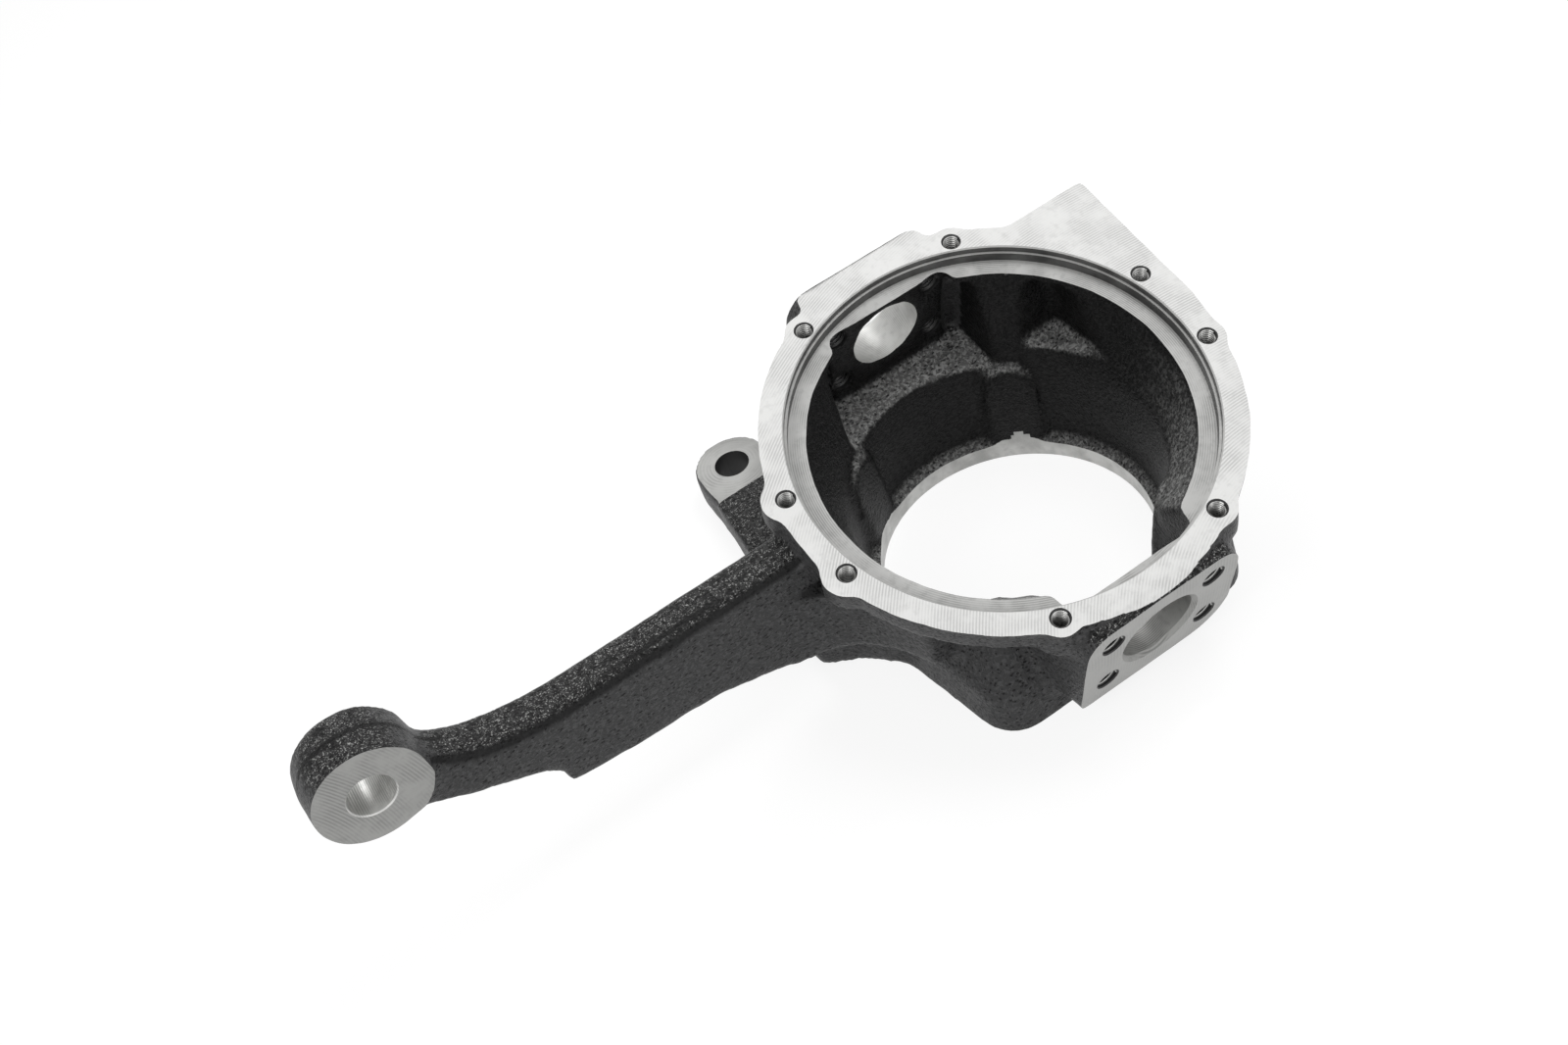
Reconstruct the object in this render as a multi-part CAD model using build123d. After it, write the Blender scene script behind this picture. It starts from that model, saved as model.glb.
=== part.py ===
# Steering knuckle of a light off-road axle: one iron casting, machined on its faces and holes.
# Frame, in mm: origin at the centre of the spindle bore on the spindle face, +Z along the wheel axis towards
# the axle, +Y up on the vehicle, -X along the steering arm. The part rests on its spindle face.
# The kingpin axis crosses the wheel axis at the ball centre and leans by KINGPIN_TILT.
import os
from math import atan2, cos, degrees, radians, sin

from build123d import *

# Driving dimensions
KINGPIN_TILT = 15.0          # kingpin axis against the wheel plane, degrees
BALL_HEIGHT = 50.5           # ball centre above the spindle face
WALL = 7.0                   # cast wall of the bowl
FAR = 400.0                  # larger than the part, for cutting solids

# Ring flange, square to the kingpin axis
RING_OFFSET = 22.7           # ring face from the kingpin axis
RING_THICK = 9.5
RING_R = 77.9                # cast rim
RIM_MARGIN = 4.4
RING_HOLE_R = RING_R - RIM_MARGIN        # radius of the circle of tapped holes
SEAT_MARGIN = 4.2
RING_BORE_R = RING_HOLE_R - SEAT_MARGIN
STEP_W = 0.9
STEP_R = RING_BORE_R - STEP_W            # second step of the seal seat
STEP_DEPTH = 2.6
LEDGE_W = 5.9
LEDGE_R = STEP_R - LEDGE_W
LEDGE_DEPTH = 6.1
RING_HOLE_ANGLES = [12.8, 65.0, 114.0, 167.0, 193.0, 246.0, 295.0, 347.2]
ARM_SIDE_HOLES = [167.0, 193.0]
RING_BOSS = (6.6, 8.2, 12.0)             # radius at the face and at its foot, depth
ARM_SIDE_BOSS = (8.5, 8.6, RING_THICK)
LEFT_MARGIN = 3.1            # flat on the arm side, outside the rim
TOP_MARGIN = 0.6             # flat on the upper kingpin side
RING_TOP_HALF = 25.5
LUG_MARGIN = 4.1             # steering stop lug, its sharp corner
LUG_Y = 60.2
LUG_FOOT_MARGIN = 2.1        # lug edge level with the ring centre
LUG_HEEL_MARGIN = 1.0        # end of that edge, inside the rim

# Tapped holes, at their major radius
M6_R = 3.0
M8_R = 4.0
M10_R = 5.0
MOUTH_CHAMFER = 0.4
RING_HOLE_DEPTH = 20.0

# Kingpin bosses
FACE_MARGIN = 2.1            # the flange faces stand outside the ring's rim
KINGPIN_FACE = RING_R + FACE_MARGIN      # from the ball centre along the kingpin axis
PAD_WALL = {1: 17.4, -1: 15.2}     # from the flange face to the inner pad, upper and lower boss
KINGPIN_BORE_R = 13.5
KINGPIN_CHAMFER = 1.4
KINGPIN_HALF_X = 29.7
KINGPIN_HALF_N = 23.4
KINGPIN_CORNERS = [(1, 1, 13.0), (1, -1, 15.0), (-1, 1, 11.5), (-1, -1, 3.0)]     # towards +X, ring; radius
KINGPIN_FLARE = 9.0          # draft of the boss on all sides but +X, degrees
KINGPIN_HOLE_X = 19.4
KINGPIN_HOLE_N = 12.0
VALLEY_TOP = 22.4            # the boss falls away from here towards the ring
VALLEY_SLOPE = 25.0
PAD_HALF_X = 24.5
PAD_LOW = 21.0               # pad below the kingpin axis

# Spindle flange and bore
SPINDLE_BORE_R = 48.6
BOSS_ROOT = KINGPIN_FACE - SPINDLE_BORE_R        # the kingpin bosses run this deep into the wall
SPINDLE_BORE_H = 5.5         # plain wall of the bore
RIM_ROUND = 3.0              # cast rounding above the bore
WAIST_STEP = 2.4             # the bowl is steep up to its waist and flares above
WAIST_R = SPINDLE_BORE_R + RIM_ROUND + WAIST_STEP
WAIST_Z = 42.0
FLANGE_X = 51.0
FLANGE_Y = 62.0
FLANGE_BULGE = 8.0           # extra half width at the middle of the sides
FLANGE_CORNER_R = 14.0
FLANGE_H = 14.0
FLANGE_DRAFT = 6.0
SHOULDER_H = 26.0            # sloping shoulder from the flange up to the bowl
SHOULDER_DRAFT = 32.0
BOLT_X = 36.0                # spindle bolts
BOLT_Y = 45.5
BOLT_DEPTH = 20.0
BOSS_W = 19.6                # arch-shaped bolt bosses inside the bowl
BOSS_TOP = 40.5
BOSS_OVERHANG = 1.2          # the boss's flat stands this far inside the spindle bore
BOSS_LEAN = 5.0

# Steering arm, square to the vehicle's vertical
ARM_FRONT = -4.5
ARM_THICK = 17.0
ARM_TOP = 66.0
ARM_TOP_ROUND = 4.5
EYE_X = -223.5
EYE_Z = 81.0
EYE_R = 18.1
EYE_FRONT = -5.2
EYE_DRAFT = 0.8              # wider at the parting line, half way back
EYE_THICK = 21.0
EYE_TAPER_R1 = 7.5           # tie-rod taper, front and back
EYE_TAPER_R2 = 6.6
EYE_BACK_ROUND = 2.5

# Arm outline in x and z: along the top it is straight and then two arcs, and below it is a chain of points
ARM_TOP_START = (-50, ARM_TOP)
ARM_TOP_BEND = (-160, ARM_TOP)
ARM_TOP_RISE = (-188, 70.2)
ARM_TOP_END = (-206, 82)
ARM_LOW_POINTS = [
    (-216, 64), (-200, 55), (-180, 46), (-174.5, 41), (-173.5, 34), (-150, 31.5), (-120, 30),
    (-105, 26), (-93, 22), (-85, 20.5), (-50, 20.5)]

# Web from the arm's front face round into the bowl: control points of its face, seen from above
ROOT_FACE = [(-92, -4.5), (-66, -4.5), (-58, -36)]
ROOT_LOW = 20.5
ROOT_TOP = 50.0
ROOT_BACK_X = -30.0
FOOT_X = (-77.0, -50.0)      # foot of the arm on the bracket
FOOT_Y = (0.0, 12.5)
FOOT_Z = (12.0, 24.0)

# Caliper bracket
BRACKET_LOW = 1.5
BRACKET_TOP = 17.0
EAR_FACE = 16.0              # machined face of the upper ear
EAR_X = -58.1
EAR_Y = 99.8
EAR_R = 15.0
EAR_FACE_EDGE = 85.0         # the machined face runs from here outwards
EAR_HOLE_R = 6.75
LOWER_EAR_X = -68.5
LOWER_EAR_Y = 21.0
BRACKET_POINTS = [
    (-73.1, 99.8), (-73.5, 87), (-75.6, 67.5), (-78, 48), (-80.3, 30), (-81.3, 12), (-81, 5.5),
    (-68, -2.8), (-59, -14), (-43, -24), (-43, 54), (-43.1, 82), (-43.1, 99.8)]

# Pockets of the bowl
SLOT_W = 6.0                 # deeper slots beside the upper kingpin pad
SLOT_DEEP = 4.0
SLOT_WALL = 4.0              # casting left around them
POCKET_X = LEDGE_R - WALL    # square pocket under the stop lug
POCKET_Y = 39.6
POCKET_FLOOR = 48.5

# Frame of the kingpin and the ring
tilt = radians(KINGPIN_TILT)
kingpin_dir = Vector(0, cos(tilt), sin(tilt))
ring_dir = Vector(0, -sin(tilt), cos(tilt))
ball = Vector(0, 0, BALL_HEIGHT)
ring_plane = Plane(origin=ball + ring_dir * RING_OFFSET, x_dir=(1, 0, 0), z_dir=ring_dir)
bolt_places = [(sx * BOLT_X, sy * BOLT_Y) for sx in (1, -1) for sy in (1, -1)]


def kingpin_plane(side, distance):
    # The plane's y axis is the ring's normal and its z axis points outwards
    return Plane(origin=ball + kingpin_dir * (side * distance), x_dir=(-side, 0, 0), z_dir=kingpin_dir * side)


def below_ring(depth):
    # Everything that lies deeper than this under the ring face
    return ring_plane * Pos(0, 0, -depth - FAR / 2) * Box(FAR, FAR, FAR)


def ring_flange():
    top = RING_R + TOP_MARGIN
    outline = Circle(RING_R) + Pos(0, top / 2) * Rectangle(2 * RING_TOP_HALF, top)
    lug = Polyline(
        (0, 0), (0, LUG_Y), (RING_R + LUG_MARGIN, LUG_Y), (RING_R + LUG_FOOT_MARGIN, 0),
        (RING_R - LUG_HEEL_MARGIN, -RING_R / 4), (0, 0))
    outline += make_face(lug)
    flange = extrude(outline, -RING_THICK)
    for angle in RING_HOLE_ANGLES:
        face_r, foot_r, depth = ARM_SIDE_BOSS if angle in ARM_SIDE_HOLES else RING_BOSS
        flange += Rot(0, 0, angle) * Pos(RING_HOLE_R, 0, -depth / 2) * Cone(foot_r, face_r, depth)
    flange &= Pos(FAR / 2 - RING_R - LEFT_MARGIN, 0, 0) * Box(FAR, FAR, FAR)
    return ring_plane * flange


def bowl(low_r, low_z, top_depth, wall):
    # From a circle on the wheel axis over the waist up to a circle under the ring face
    low = Pos(0, 0, low_z) * Circle(low_r + wall)
    waist = Pos(0, 0, WAIST_Z) * Circle(WAIST_R + wall)
    top = ring_plane * Pos(0, 0, -top_depth) * Circle(LEDGE_R + wall)
    return loft([low.face(), waist.face()]) + loft([waist.face(), top.face()])


def spindle_flange():
    mid = FLANGE_X + FLANGE_BULGE
    outline = make_face(Polyline(
        (-FLANGE_X, -FLANGE_Y), (FLANGE_X, -FLANGE_Y), (mid, 0), (FLANGE_X, FLANGE_Y),
        (-FLANGE_X, FLANGE_Y), (-mid, 0), (-FLANGE_X, -FLANGE_Y)))
    corners = [v for v in outline.vertices() if abs(v.Y) > FLANGE_Y / 2]
    outline = fillet(corners, FLANGE_CORNER_R)
    base = extrude(outline, FLANGE_H, taper=FLANGE_DRAFT)
    shoulder = extrude(base.faces().sort_by(Axis.Z)[-1], SHOULDER_H, taper=SHOULDER_DRAFT)
    return base + shoulder


def kingpin_boss(side):
    outline = Rectangle(2 * KINGPIN_HALF_X, 2 * KINGPIN_HALF_N)
    for towards_x, towards_ring, radius in KINGPIN_CORNERS:
        corner = (-side * towards_x * KINGPIN_HALF_X, towards_ring * KINGPIN_HALF_N)
        outline = fillet(outline.vertices().sort_by_distance(corner)[0], radius)
    block = extrude(outline, -BOSS_ROOT, taper=-KINGPIN_FLARE)
    valley = Pos(0, VALLEY_TOP) * Rot(-VALLEY_SLOPE, 0, 0) * Pos(0, FAR / 2) * Box(FAR, FAR, FAR)
    boss = kingpin_plane(side, KINGPIN_FACE) * (block - valley)
    return boss & Pos(KINGPIN_HALF_X - FAR / 2, 0, 0) * Box(FAR, FAR, FAR)


def slot_cheeks():
    # Wall of the upper boss around the slots beside its pad
    high = RING_OFFSET - RING_THICK / 2
    low = PAD_LOW + SLOT_WALL
    outline = Pos(0, (high - low) / 2) * Rectangle(2 * (PAD_HALF_X + SLOT_W + SLOT_WALL), high + low)
    reach = KINGPIN_FACE - PAD_WALL[1] + SLOT_DEEP + SLOT_WALL
    return kingpin_plane(1, reach) * extrude(outline, SPINDLE_BORE_R - reach)


def corner_wall():
    # Square corner of the bowl under the stop lug
    x, y, cut = POCKET_X + WALL, POCKET_Y + WALL, WALL
    outline = make_face(Polyline(
        (0, 0), (x / 2, y), (x - cut, y), (x, y - cut), (x, -y / 8), (0, 0)))
    block = Pos(0, 0, POCKET_FLOOR - WALL) * extrude(outline, BALL_HEIGHT)
    return block & below_ring(RING_THICK / 2)


def arm():
    # Flat arm with a tie-rod eye
    straight = Line(ARM_TOP_START, ARM_TOP_BEND)
    rise = TangentArc(ARM_TOP_BEND, ARM_TOP_RISE, tangent=straight % 1)
    neck = TangentArc(ARM_TOP_RISE, ARM_TOP_END, tangent=rise % 1)
    outline = make_face([
        straight, rise, neck, Line(ARM_TOP_END, ARM_LOW_POINTS[0]),
        Polyline(*ARM_LOW_POINTS, ARM_TOP_START)])
    plane = Plane(origin=(0, ARM_FRONT + ARM_THICK, 0), x_dir=(1, 0, 0), z_dir=(0, -1, 0))
    blade = plane * extrude(outline, ARM_THICK)
    top_edges = [e for e in blade.edges() if is_arm_top(e)]
    blade = fillet(top_edges, ARM_TOP_ROUND)
    eye_plane = Plane(origin=(EYE_X, EYE_FRONT + EYE_THICK, EYE_Z), x_dir=(1, 0, 0), z_dir=(0, -1, 0))
    half = EYE_THICK / 2
    eye = Pos(0, 0, half / 2) * Cone(EYE_R, EYE_R + EYE_DRAFT, half)
    eye += Pos(0, 0, 3 * half / 2) * Cone(EYE_R + EYE_DRAFT, EYE_R, half)
    eye = fillet(eye.edges().sort_by(Axis.Z)[0], EYE_BACK_ROUND)
    return blade + eye_plane * eye


def is_arm_top(edge):
    along = abs(edge.tangent_at(0.5).Y) < 0.5
    return along and edge.center().Z > ARM_TOP - 1 and edge.length > ARM_THICK * 2


def arm_root():
    start, _, end = ROOT_FACE
    outline = make_face([
        Bezier(*ROOT_FACE),
        Polyline(end, (ROOT_BACK_X, end[1]), (ROOT_BACK_X, 0), (start[0], 0), start)])
    web = Pos(0, 0, ROOT_LOW) * extrude(outline, ROOT_TOP - ROOT_LOW)
    middle = [(low + high) / 2 for low, high in (FOOT_X, FOOT_Y, FOOT_Z)]
    size = [high - low for low, high in (FOOT_X, FOOT_Y, FOOT_Z)]
    return web + Pos(*middle) * Box(*size)


def caliper_bracket():
    outline = make_face(Polyline(*BRACKET_POINTS, BRACKET_POINTS[0]))
    outline += Pos(EAR_X, EAR_Y) * Circle(EAR_R)
    return Pos(0, 0, BRACKET_LOW) * extrude(outline, BRACKET_TOP - BRACKET_LOW)


def bolt_boss(x, y):
    # Arch-shaped boss inside the bowl, over one spindle bolt
    half = BOSS_W / 2
    arch = Pos(0, BOSS_TOP / 2 - half / 2) * Rectangle(BOSS_W, BOSS_TOP - half)
    arch += Pos(0, BOSS_TOP - half) * Circle(half)
    block = extrude(arch, 3 * WALL)
    stand = Plane(origin=(SPINDLE_BORE_R - BOSS_OVERHANG, 0, 0), x_dir=(0, 1, 0), z_dir=(1, 0, 0))
    return Rot(0, 0, degrees(atan2(y, x))) * (stand * Rot(BOSS_LEAN, 0, 0) * block)


def bowl_hollow():
    # All that the casting leaves open: rim rounding, bowl, pads and pocket
    rim_r = SPINDLE_BORE_R + RIM_ROUND
    rim_z = SPINDLE_BORE_H + RIM_ROUND
    bulge = RIM_ROUND * sin(radians(45))
    profile = make_face([
        Polyline((0, 0), (SPINDLE_BORE_R, 0), (SPINDLE_BORE_R, SPINDLE_BORE_H)),
        ThreePointArc((SPINDLE_BORE_R, SPINDLE_BORE_H), (rim_r - bulge, SPINDLE_BORE_H + bulge), (rim_r, rim_z)),
        Polyline((rim_r, rim_z), (0, rim_z), (0, 0))])
    hollow = revolve(Plane.XZ * profile, Axis.Z)
    hollow += bowl(rim_r, rim_z, LEDGE_DEPTH, 0)
    hollow += pad_pocket(1) + pad_slots() + pad_pocket(-1)
    hollow += corner_pocket()
    for x, y in bolt_places:
        hollow -= bolt_boss(x, y)
    return hollow


def pad_pocket(side):
    # Flat pad across the kingpin axis
    high = RING_OFFSET - LEDGE_DEPTH
    pad = Pos(0, (high - PAD_LOW) / 2) * Rectangle(2 * PAD_HALF_X, high + PAD_LOW)
    face = KINGPIN_FACE - PAD_WALL[side]
    return kingpin_plane(side, face) * extrude(pad, SPINDLE_BORE_R - WALL - face)


def pad_slots():
    # Deeper slot along each side of the upper pad
    high = RING_OFFSET - LEDGE_DEPTH
    reach = KINGPIN_FACE - PAD_WALL[1] + SLOT_DEEP
    slot = Rectangle(SLOT_W, high + PAD_LOW)
    slots = Part()
    for sx in (1, -1):
        place = Pos(sx * (PAD_HALF_X + SLOT_W / 2), (high - PAD_LOW) / 2)
        slots += kingpin_plane(1, reach) * extrude(place * slot, SPINDLE_BORE_R - WALL - reach)
    return slots & below_ring(RING_THICK)


def corner_pocket():
    # Square pocket under the stop lug
    outline = Pos(POCKET_X / 2, POCKET_Y / 2) * Rectangle(POCKET_X, POCKET_Y)
    prism = Pos(0, 0, POCKET_FLOOR) * extrude(outline, BALL_HEIGHT)
    return prism & below_ring(RING_THICK)


def tapped_hole(radius, depth):
    # Down from the plane's face, with a chamfered mouth
    mouth = radius + MOUTH_CHAMFER
    hole = Pos(0, 0, -depth / 2) * Cylinder(radius, depth)
    return hole + Pos(0, 0, -MOUTH_CHAMFER / 2) * Cone(radius, mouth, MOUTH_CHAMFER)


def kingpin_holes(side):
    depth = PAD_WALL[side] + 2 * SLOT_DEEP
    mouth = KINGPIN_BORE_R + KINGPIN_CHAMFER
    holes = Pos(0, 0, -depth / 2) * Cylinder(KINGPIN_BORE_R, depth)
    holes += Pos(0, 0, -KINGPIN_CHAMFER / 2) * Cone(KINGPIN_BORE_R, mouth, KINGPIN_CHAMFER)
    for sx in (1, -1):
        for sn in (1, -1):
            holes += Pos(sx * KINGPIN_HOLE_X, sn * KINGPIN_HOLE_N) * tapped_hole(M8_R, depth)
    return kingpin_plane(side, KINGPIN_FACE) * holes


def machining():
    # Seal seat, bores, faces and holes
    cuts = ring_plane * Pos(0, 0, -STEP_DEPTH / 2) * Cylinder(RING_BORE_R, STEP_DEPTH)
    cuts += ring_plane * Pos(0, 0, -LEDGE_DEPTH / 2) * Cylinder(STEP_R, LEDGE_DEPTH)
    cuts += Pos(0, 0, SPINDLE_BORE_H) * Cylinder(SPINDLE_BORE_R, 2 * SPINDLE_BORE_H)
    for angle in RING_HOLE_ANGLES:
        cuts += ring_plane * Rot(0, 0, angle) * Pos(RING_HOLE_R, 0) * tapped_hole(M6_R, RING_HOLE_DEPTH)
    cuts += kingpin_holes(1) + kingpin_holes(-1)
    for x, y in bolt_places:
        cuts += Pos(x, y, 0) * Rot(180, 0, 0) * tapped_hole(M10_R, BOLT_DEPTH)
    for x, y in ((EAR_X, EAR_Y), (LOWER_EAR_X, LOWER_EAR_Y)):
        cuts += Pos(x, y, BRACKET_TOP / 2) * Cylinder(EAR_HOLE_R, 2 * BRACKET_TOP)
    cuts += Pos(EAR_X, EAR_FACE_EDGE + 2 * EAR_R, EAR_FACE + EAR_R) * Box(6 * EAR_R, 4 * EAR_R, 2 * EAR_R)
    eye_plane = Plane(origin=(EYE_X, EYE_FRONT, EYE_Z), x_dir=(1, 0, 0), z_dir=(0, -1, 0))
    return cuts + eye_plane * Pos(0, 0, -EYE_THICK / 2) * Cone(EYE_TAPER_R2, EYE_TAPER_R1, EYE_THICK)


casting = ring_flange() + bowl(SPINDLE_BORE_R + RIM_ROUND, FLANGE_H, RING_THICK, WALL)
casting += spindle_flange()
casting += kingpin_boss(1) + kingpin_boss(-1) + slot_cheeks()
casting += corner_wall()
casting += arm() + arm_root() + caliper_bracket()
casting -= bowl_hollow()
casting -= machining()

os.makedirs("parts", exist_ok=True)
export_step(casting, "parts/knuckle_casting.step")
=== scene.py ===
from math import cos, pi, radians, sin

import bmesh
import bpy
from mathutils import Matrix, Vector


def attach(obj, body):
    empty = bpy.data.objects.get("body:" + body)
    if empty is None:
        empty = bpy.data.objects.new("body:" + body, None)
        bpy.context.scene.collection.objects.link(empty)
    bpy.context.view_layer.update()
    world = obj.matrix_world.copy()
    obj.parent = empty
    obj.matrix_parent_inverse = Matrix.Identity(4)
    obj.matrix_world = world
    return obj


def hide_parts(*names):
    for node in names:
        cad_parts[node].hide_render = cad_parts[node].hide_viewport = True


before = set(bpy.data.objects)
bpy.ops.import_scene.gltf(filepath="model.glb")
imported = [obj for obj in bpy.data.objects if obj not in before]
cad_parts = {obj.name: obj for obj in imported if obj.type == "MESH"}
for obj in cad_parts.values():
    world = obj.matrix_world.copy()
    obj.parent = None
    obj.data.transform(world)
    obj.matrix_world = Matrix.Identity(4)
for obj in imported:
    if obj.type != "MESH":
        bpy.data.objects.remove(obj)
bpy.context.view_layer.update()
mm = 0.001  # places and sizes below are in mm, and Blender's are in metres

axle = {
    "kingpinTilt": radians(15),
    "ballHeight": 50.5,
    "ringOffset": 22.7,  # ring face from the kingpin axis
    "kingpinFace": 80.0,
    "eyeFace": (-223.5, -5.2, 81.0),
    "earFace": (-58.1, 99.8, 16.0),
}
tilt = axle["kingpinTilt"]
kingpinAxis = Vector((0, cos(tilt), sin(tilt)))
ringAxis = Vector((0, -sin(tilt), cos(tilt)))
ballCentre = Vector((0, 0, axle["ballHeight"]))


def placeAlong(origin, zAxis):
    # Matrix at the origin given, with zAxis as its z axis and the part's x axis as its x axis
    yAxis = zAxis.cross(Vector((1, 0, 0))).normalized()
    xAxis = yAxis.cross(zAxis)
    return Matrix.Translation(origin) @ Matrix((xAxis, yAxis, zAxis)).transposed().to_4x4()


ringPlace = placeAlong(ballCentre + ringAxis * axle["ringOffset"], ringAxis)
kingpinPlaces = [
    placeAlong(ballCentre + kingpinAxis * side * axle["kingpinFace"], kingpinAxis * side) for side in (1, -1)]
spindlePlace = placeAlong(Vector((0, 0, 0)), Vector((0, 0, -1)))
eyePlace = placeAlong(Vector(axle["eyeFace"]), Vector((0, -1, 0)))
earPlace = placeAlong(Vector(axle["earFace"]), Vector((0, 0, 1)))

seat = {"outer": 69.3, "step": 68.4, "stepDepth": 2.6, "ledgeDepth": 6.1, "chamfer": 0.45}
bores = {
    "spindle": 48.6,
    "spindleHeight": 12.0,
    "kingpin": 13.5,
    "kingpinChamfer": 1.4,
    "kingpinDepth": 26.0,
    "eyeFront": 7.5,
    "eyeBack": 6.6,
    "eyeDepth": 21.0,
    "caliper": 6.75,
    "caliperDepth": 18.0,
    "smallChamfer": 0.4,  # at the eye and the tapped holes
}
earPatch = 14.8  # the ear's machined patch ends this far below its hole
threads = {
    "ring": {"radius": 3.0, "pitch": 1.0, "depth": 11.9, "shown": 11.0},
    "kingpin": {"radius": 4.0, "pitch": 1.25, "depth": 26.0, "shown": 15.0},
    "spindle": {"radius": 5.0, "pitch": 1.5, "depth": 20.0, "shown": 18.0},
}
ringAngles = [12.8, 65.0, 114.0, 167.0, 193.0, 246.0, 295.0, 347.2]
throughHoles = {12.8: 11.8, 167.0: 9.4, 193.0: 9.4, 347.2: 11.8}  # wall under the ring holes that open below
ringHoleCircle = 73.5
kingpinSpacing = (19.4, 12.0)  # of the four holes from the middle
spindleSpacing = (36.0, 45.5)
lowerCaliperHole = (-10.4, -78.8, 0)  # from the upper one


def ringHole(angle):
    turn = radians(angle)
    return ringPlace @ Matrix.Translation((ringHoleCircle * cos(turn), ringHoleCircle * sin(turn), 0))


def cornerHoles(place, spacing):
    corners = ((1, 1), (-1, 1), (-1, -1), (1, -1))
    return [place @ Matrix.Translation((spacing[0] * sx, spacing[1] * sy, 0)) for sx, sy in corners]


tappedHoles = {
    "ring": [ringHole(angle) for angle in ringAngles],
    "kingpin": [hole for place in kingpinPlaces for hole in cornerHoles(place, kingpinSpacing)],
    "spindle": cornerHoles(spindlePlace, spindleSpacing),
}
caliperHoles = [earPlace, earPlace @ Matrix.Translation(lowerCaliperHole)]


def addObject(name, bm):
    # The bmesh is in mm and the object in metres
    bmesh.ops.scale(bm, vec=(mm, mm, mm), verts=bm.verts)
    mesh = bpy.data.meshes.new(name)
    bm.to_mesh(mesh)
    bm.free()
    piece = bpy.data.objects.new(name, mesh)
    bpy.context.scene.collection.objects.link(piece)
    return piece


def applyModifiers(piece):
    graph = bpy.context.evaluated_depsgraph_get()
    finished = bpy.data.meshes.new_from_object(piece.evaluated_get(graph), depsgraph=graph)
    piece.modifiers.clear()
    piece.data = finished


def addBox(bm, place, low, high):
    low, high = Vector(low), Vector(high)
    shape = Matrix.Translation((low + high) / 2) @ Matrix.Diagonal((*(high - low), 1))
    bmesh.ops.create_cube(bm, size=1, matrix=place @ shape)


def linkedVerts(start):
    found, waiting = {start}, [start]
    while waiting:
        for edge in waiting.pop().link_edges:
            for vert in edge.verts:
                if vert not in found:
                    found.add(vert)
                    waiting.append(vert)
    return found


def addTurned(bm, place, profile, steps):
    # Closed solid turned from a profile of (radius, height) that starts and ends on the axis
    points = [bm.verts.new((radius, 0, height)) for radius, height in profile]
    edges = [bm.edges.new(pair) for pair in zip(points, points[1:])]
    turned = bmesh.ops.spin(
        bm, geom=points + edges, cent=(0, 0, 0), axis=(0, 0, 1), angle=2 * pi, steps=steps, use_merge=True)
    ends = [item for item in turned["geom_last"] if isinstance(item, bmesh.types.BMVert)]
    made = list({vert for end in ends for vert in linkedVerts(end)})
    bmesh.ops.transform(bm, matrix=place, verts=made)
    bmesh.ops.remove_doubles(bm, verts=made, dist=0.0005)


# Cast blank
blank = {  # in mm
    "voxel": 1.6,
    "rounding": 7,  # passes of smoothing
    "waviness": 0.5,
    "waveSize": 9.0,
    "stock": 3.0,
    "earStock": 1.0,
    "plugMargin": 0.7,  # a plug's radius over its hole's
    "plugGap": 0.1,  # from a plug's top to the face of the stock
}
stock = [  # place of a machined face, its depth under the place, and the stock put on it
    (ringPlace, 0, blank["stock"]),
    (ringPlace, seat["stepDepth"], blank["stock"] + seat["stepDepth"]),
    (ringPlace, seat["ledgeDepth"], blank["stock"] + seat["ledgeDepth"]),
    (kingpinPlaces[0], 0, blank["stock"]),
    (kingpinPlaces[1], 0, blank["stock"]),
    (spindlePlace, 0, blank["stock"]),
    (earPlace, 0, blank["earStock"]),
    (eyePlace, 0, blank["stock"]),
]
plugDepths = {
    "ring": 19.6,
    "kingpin": 15.0,
    "spindle": 20.5,
    "spindleBore": 5.5,
    "caliper": 14.5,
    "eye": bores["eyeDepth"] - 0.1,
}


def inPlane(face, origin, normal):
    gap = (face.calc_center_median() - origin).dot(normal)
    return face.normal.dot(normal) > 0.9995 and abs(gap) < 0.02


def addStock(bm, place, depth, height):
    # Raises the faces that lie in the machined plane
    normal = place.col[2].xyz
    origin = place @ Vector((0, 0, -depth))
    faces = [face for face in bm.faces if inPlane(face, origin, normal)]
    extruded = bmesh.ops.extrude_face_region(bm, geom=faces)["geom"]
    raised = [item for item in extruded if isinstance(item, bmesh.types.BMVert)]
    bmesh.ops.translate(bm, vec=normal * height, verts=raised)
    bmesh.ops.delete(bm, geom=[face for face in faces if face.is_valid], context="FACES")


def addPlug(bm, place, radius, top, depth):
    wide = radius + blank["plugMargin"]
    halfway = Matrix.Translation((0, 0, (top - depth) / 2))
    bmesh.ops.create_cone(
        bm, cap_ends=True, segments=48, radius1=wide, radius2=wide, depth=top + depth, matrix=place @ halfway)


def fillHoles(bm):
    top = blank["stock"] - blank["plugGap"]
    for place, angle in zip(tappedHoles["ring"], ringAngles):
        addPlug(bm, place, threads["ring"]["radius"], top, throughHoles.get(angle, plugDepths["ring"]))
    for place in tappedHoles["kingpin"]:
        addPlug(bm, place, threads["kingpin"]["radius"], top, plugDepths["kingpin"])
    for place in kingpinPlaces:
        addPlug(bm, place, bores["kingpin"] + bores["kingpinChamfer"], top, plugDepths["kingpin"])
    for place in tappedHoles["spindle"]:
        addPlug(bm, place, threads["spindle"]["radius"], top, plugDepths["spindle"])
    addPlug(bm, spindlePlace, bores["spindle"], top, plugDepths["spindleBore"])
    for place in caliperHoles:
        addPlug(bm, place, bores["caliper"], blank["earStock"] - blank["plugGap"], plugDepths["caliper"])
    addPlug(bm, eyePlace, bores["eyeFront"], top, plugDepths["eye"])


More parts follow.
